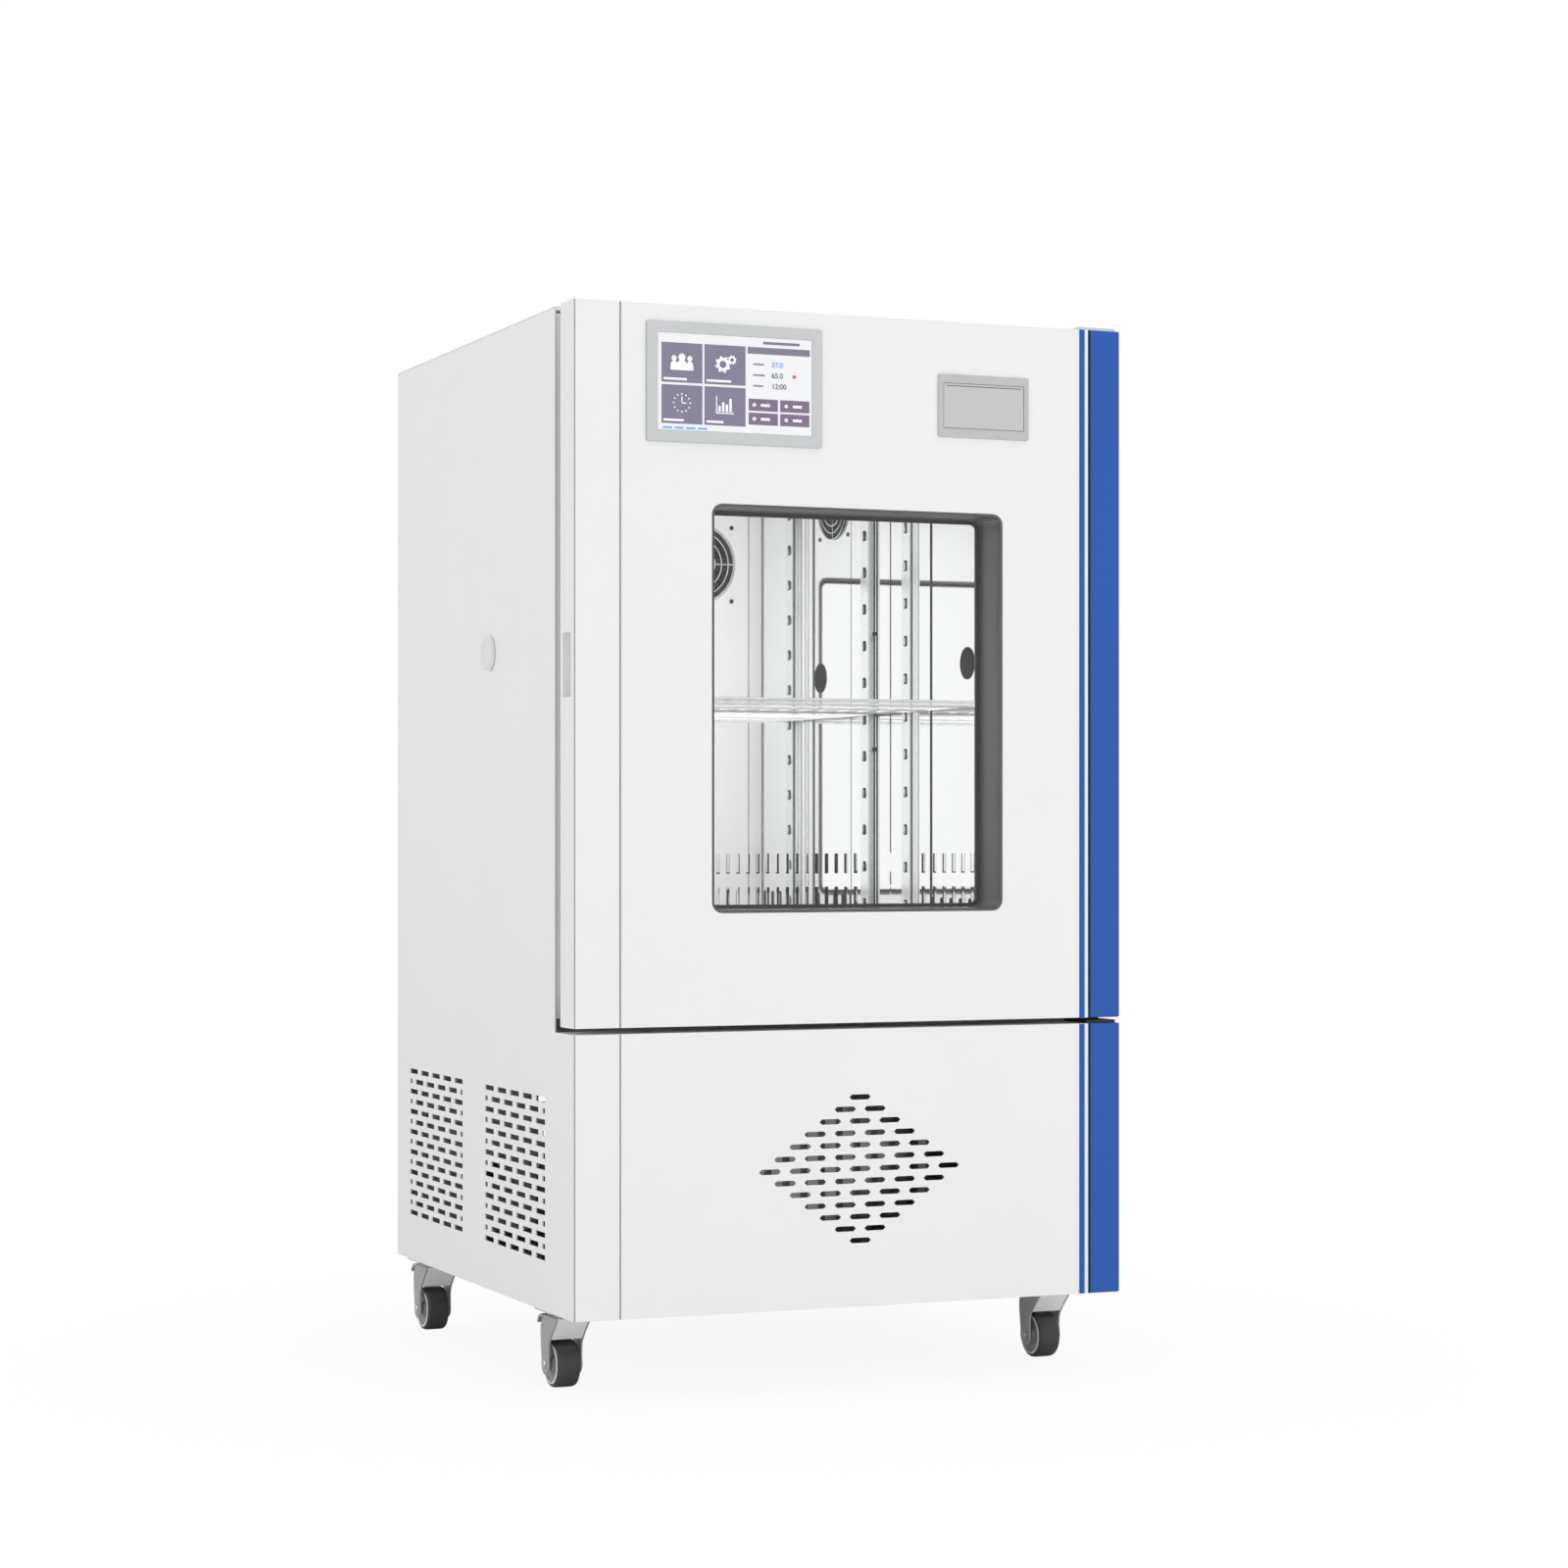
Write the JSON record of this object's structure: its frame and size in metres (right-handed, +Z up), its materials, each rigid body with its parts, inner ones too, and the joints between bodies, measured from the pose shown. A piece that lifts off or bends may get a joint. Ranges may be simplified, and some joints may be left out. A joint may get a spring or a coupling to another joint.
{
  "type": "humidity incubator",
  "caption": "Floor-standing humidity incubator with a windowed side-hinged door over a vented machine bay, on braked swivel casters.",
  "frame": {"origin": "on the floor, under the centre of the overall bounding box", "axes": "+Z up; the front with its door faces -Y; +X to the right as seen from the front"},
  "size_m": [0.804, 0.799, 1.4223],
  "materials": {
    "white_paint": "smooth white powder coat",
    "blue_paint": "satin blue paint",
    "stainless": "bright stainless",
    "zinc": "zinc plated steel",
    "foam": "rigid insulating foam",
    "dark_frame": "matt dark grey",
    "clear_glass": "clear",
    "rubber": "matt",
    "bezel_grey": "satin grey",
    "screen": "glossy display",
    "printer_grey": "satin light grey",
    "black_paint": "satin black",
    "fan_black": "matt black",
    "tyre": "matt",
    "hub_grey": "satin grey",
    "plug_white": "matt white"
  },
  "bodies": {
    "cabinet": {"left_side_panel": "white_paint", "right_side_panel": "white_paint", "top_cover": "white_paint", "back_panel": "white_paint", "lower_front_panel": "white_paint", "lower_blue_trim": "blue_paint", "inner_liner": "stainless", "duct_panel": "stainless", "shelf_rail_front_left": "stainless", "shelf_rail_front_right": "stainless", "shelf_rail_rear_left": "stainless", "shelf_rail_rear_right": "stainless", "wire_shelf": "stainless", "base_frame": "zinc", "fan_guard": "zinc", "evaporator": "zinc", "condenser": "zinc", "control_box": "zinc", "upper_hinge_bracket": "zinc", "insulation": "foam", "compressor": "black_paint", "lower_hinge_bracket": "black_paint", "power_inlet": "black_paint", "fan_frame": "fan_black", "humidifier_tank": "plug_white", "caster_plate_front_left": "zinc", "caster_plate_rear_left": "zinc", "caster_plate_front_right": "zinc", "caster_plate_rear_right": "zinc"},
    "door": {"door_shell": "white_paint", "door_blue_trim": "blue_paint", "door_liner": "white_paint", "door_gasket": "rubber", "window_frame": "dark_frame", "outer_glass": "clear_glass", "inner_glass": "clear_glass", "display_bezel": "bezel_grey", "display_screen": "screen", "printer_bezel": "printer_grey"},
    "printer_cover": {"printer_cover": "printer_grey"},
    "port_plug_left": {"port_plug_left": "plug_white"},
    "port_plug_right": {"port_plug_right": "plug_white"},
    "fan_rotor": {"fan_rotor": "fan_black"},
    "condenser_fan": {"condenser_fan": "fan_black"},
    "caster_fork_front_left": {"caster_fork_front_left": "zinc"},
    "caster_wheel_front_left": {"caster_hub_front_left": "hub_grey", "caster_tyre_front_left": "tyre"},
    "brake_pedal_front_left": {"brake_pedal_front_left": "zinc"},
    "caster_fork_rear_left": {"caster_fork_rear_left": "zinc"},
    "caster_wheel_rear_left": {"caster_hub_rear_left": "hub_grey", "caster_tyre_rear_left": "tyre"},
    "brake_pedal_rear_left": {"brake_pedal_rear_left": "zinc"},
    "caster_fork_front_right": {"caster_fork_front_right": "zinc"},
    "caster_wheel_front_right": {"caster_hub_front_right": "hub_grey", "caster_tyre_front_right": "tyre"},
    "brake_pedal_front_right": {"brake_pedal_front_right": "zinc"},
    "caster_fork_rear_right": {"caster_fork_rear_right": "zinc"},
    "caster_wheel_rear_right": {"caster_hub_rear_right": "hub_grey", "caster_tyre_rear_right": "tyre"},
    "brake_pedal_rear_right": {"brake_pedal_rear_right": "zinc"}
  },
  "joints": [
    {"name": "door_hinge", "type": "hinge", "parent": "cabinet", "child": "door", "pos_m": [0.37, -0.3685, 1.008], "axis": [0, 0, 1], "range_deg": [0, 120]},
    {"name": "printer_cover_hinge", "type": "hinge", "parent": "door", "child": "printer_cover", "pos_m": [0.187, -0.3975, 1.2764], "axis": [1, 0, 0], "range_deg": [0, 80]},
    {"name": "port_plug_left_pull", "type": "slide", "parent": "cabinet", "child": "port_plug_left", "axis": [-1, 0, 0], "range_m": [0, 0.04]},
    {"name": "port_plug_right_pull", "type": "slide", "parent": "cabinet", "child": "port_plug_right", "axis": [1, 0, 0], "range_m": [0, 0.04]},
    {"name": "fan_spin", "type": "hinge", "parent": "cabinet", "child": "fan_rotor", "pos_m": [0.015, 0.2328, 1.134], "axis": [0, 1, 0], "continuous": true},
    {"name": "condenser_fan_spin", "type": "hinge", "parent": "cabinet", "child": "condenser_fan", "pos_m": [0.007, -0.2045, 0.29], "axis": [0, 1, 0], "continuous": true},
    {"name": "caster_swivel_front_left", "type": "hinge", "parent": "cabinet", "child": "caster_fork_front_left", "pos_m": [-0.354, -0.2545, 0.0965], "axis": [0, 0, 1], "continuous": true},
    {"name": "caster_roll_front_left", "type": "hinge", "parent": "caster_fork_front_left", "child": "caster_wheel_front_left", "pos_m": [-0.354, -0.2345, 0.0315], "axis": [1, 0, 0], "continuous": true},
    {"name": "brake_pedal_tip_front_left", "type": "hinge", "parent": "caster_fork_front_left", "child": "brake_pedal_front_left", "pos_m": [-0.354, -0.2365, 0.082], "axis": [1, 0, 0], "range_deg": [-18, 0]},
    {"name": "caster_swivel_rear_left", "type": "hinge", "parent": "cabinet", "child": "caster_fork_rear_left", "pos_m": [-0.354, 0.3325, 0.0965], "axis": [0, 0, 1], "continuous": true},
    {"name": "caster_roll_rear_left", "type": "hinge", "parent": "caster_fork_rear_left", "child": "caster_wheel_rear_left", "pos_m": [-0.354, 0.3525, 0.0315], "axis": [1, 0, 0], "continuous": true},
    {"name": "brake_pedal_tip_rear_left", "type": "hinge", "parent": "caster_fork_rear_left", "child": "brake_pedal_rear_left", "pos_m": [-0.354, 0.3505, 0.082], "axis": [1, 0, 0], "range_deg": [-18, 0]},
    {"name": "caster_swivel_front_right", "type": "hinge", "parent": "cabinet", "child": "caster_fork_front_right", "pos_m": [0.354, -0.2545, 0.0965], "axis": [0, 0, 1], "continuous": true},
    {"name": "caster_roll_front_right", "type": "hinge", "parent": "caster_fork_front_right", "child": "caster_wheel_front_right", "pos_m": [0.354, -0.2345, 0.0315], "axis": [1, 0, 0], "continuous": true},
    {"name": "brake_pedal_tip_front_right", "type": "hinge", "parent": "caster_fork_front_right", "child": "brake_pedal_front_right", "pos_m": [0.354, -0.2365, 0.082], "axis": [1, 0, 0], "range_deg": [-18, 0]},
    {"name": "caster_swivel_rear_right", "type": "hinge", "parent": "cabinet", "child": "caster_fork_rear_right", "pos_m": [0.354, 0.3325, 0.0965], "axis": [0, 0, 1], "continuous": true},
    {"name": "caster_roll_rear_right", "type": "hinge", "parent": "caster_fork_rear_right", "child": "caster_wheel_rear_right", "pos_m": [0.354, 0.3525, 0.0315], "axis": [1, 0, 0], "continuous": true},
    {"name": "brake_pedal_tip_rear_right", "type": "hinge", "parent": "caster_fork_rear_right", "child": "brake_pedal_rear_right", "pos_m": [0.354, 0.3505, 0.082], "axis": [1, 0, 0], "range_deg": [-18, 0]}
  ]
}
